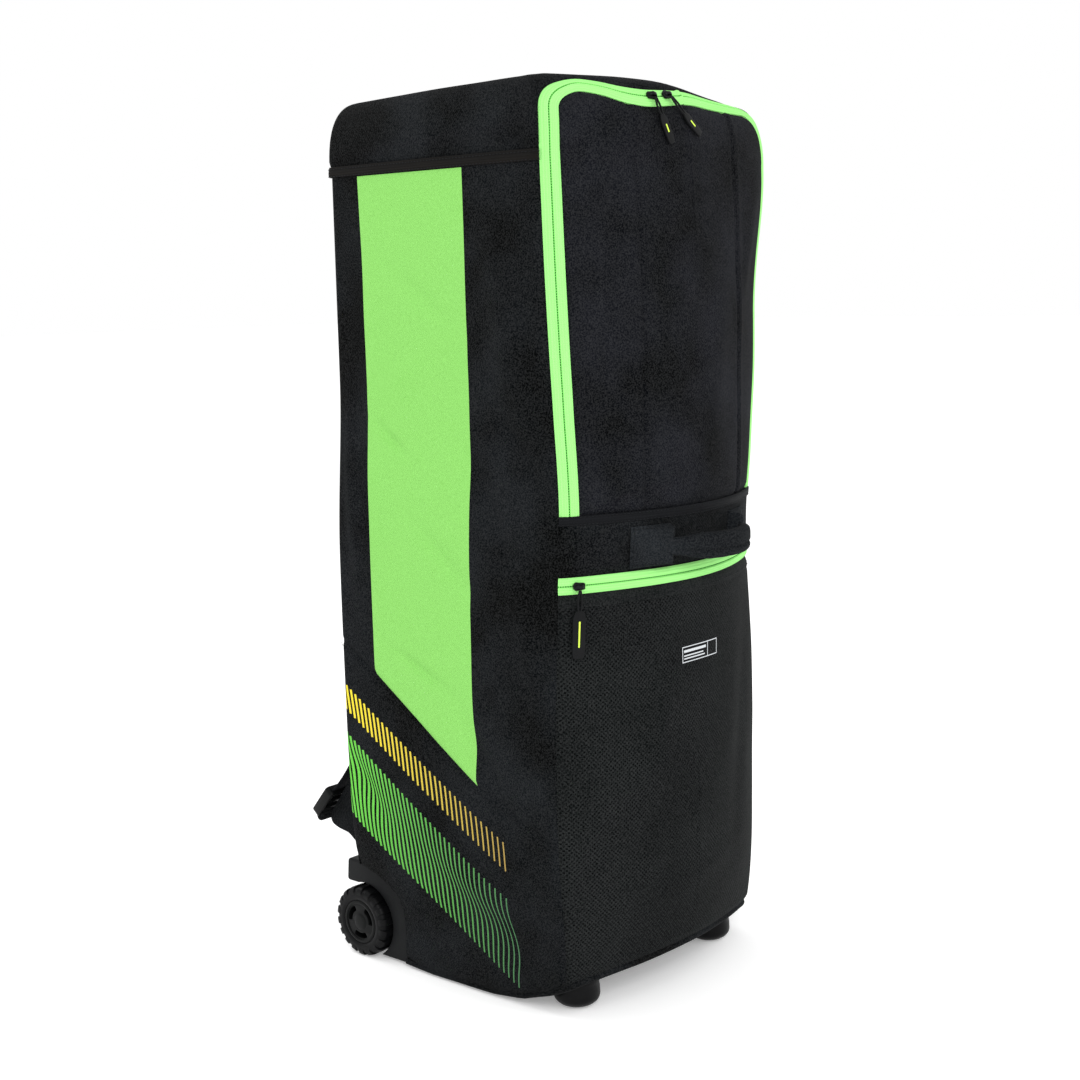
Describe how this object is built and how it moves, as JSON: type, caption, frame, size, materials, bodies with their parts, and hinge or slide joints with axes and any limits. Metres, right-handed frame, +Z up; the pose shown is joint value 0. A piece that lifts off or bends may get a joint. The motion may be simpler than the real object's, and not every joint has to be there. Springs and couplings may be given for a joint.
{
  "type": "wheeled cricket kit bag",
  "caption": "Tall standing kit bag of black cloth with a zipped front flap, mesh pocket, carry handle, backpack straps, corner wheels and rubber feet.",
  "frame": {"origin": "under the middle of the standing bag, on the floor", "axes": "+Z up along the bag's height, -Y out of the front with the flap and pocket, +X to the right seen from the front"},
  "size_m": [0.3496, 0.4452, 0.904],
  "materials": {
    "fabric_black": "matt black woven polyester",
    "mesh_black": "black diagonal weave mesh cloth",
    "zip_green": "bright green woven zip tape",
    "webbing_black": "black ribbed webbing",
    "plastic_black": "moulded black plastic, satin",
    "rubber_black": "black rubber, matt",
    "tyre_black": "black lugged tyre",
    "metal_black": "black coated zinc"
  },
  "bodies": {
    "bag": {"side_upper_left": "fabric_black", "side_lower_left": "fabric_black", "wheel_housing_left": "plastic_black", "foot_left": "rubber_black", "shoulder_strap_left": "fabric_black", "strap_buckle_left": "plastic_black", "strap_webbing_left": "webbing_black", "strap_gusset_left": "fabric_black", "flap_slider_left": "metal_black", "flap_puller_left": "rubber_black", "handle_patch_left": "fabric_black", "side_upper_right": "fabric_black", "side_lower_right": "fabric_black", "wheel_housing_right": "plastic_black", "foot_right": "rubber_black", "shoulder_strap_right": "fabric_black", "strap_buckle_right": "plastic_black", "strap_webbing_right": "webbing_black", "strap_gusset_right": "fabric_black", "flap_slider_right": "metal_black", "flap_puller_right": "rubber_black", "handle_patch_right": "fabric_black", "back_panel": "fabric_black", "base_panel": "fabric_black", "top_cap": "fabric_black", "cap_binding": "webbing_black", "flap_panel": "fabric_black", "flap_zip_tape": "zip_green", "front_band": "fabric_black", "band_binding": "webbing_black", "pocket_zip_tape": "zip_green", "pocket_panel": "mesh_black", "pocket_slider": "metal_black", "pocket_puller": "rubber_black", "carry_handle": "webbing_black"},
    "wheel_left": {"tyre_left": "tyre_black", "hub_left": "plastic_black"},
    "wheel_right": {"tyre_right": "tyre_black", "hub_right": "plastic_black"}
  },
  "joints": [
    {"name": "wheel_left_spin", "type": "hinge", "parent": "bag", "child": "wheel_left", "pos_m": [-0.1525, 0.15384, 0.03805], "axis": [1, 0, 0], "continuous": true},
    {"name": "wheel_right_spin", "type": "hinge", "parent": "bag", "child": "wheel_right", "pos_m": [0.1525, 0.15384, 0.03805], "axis": [1, 0, 0], "continuous": true}
  ]
}
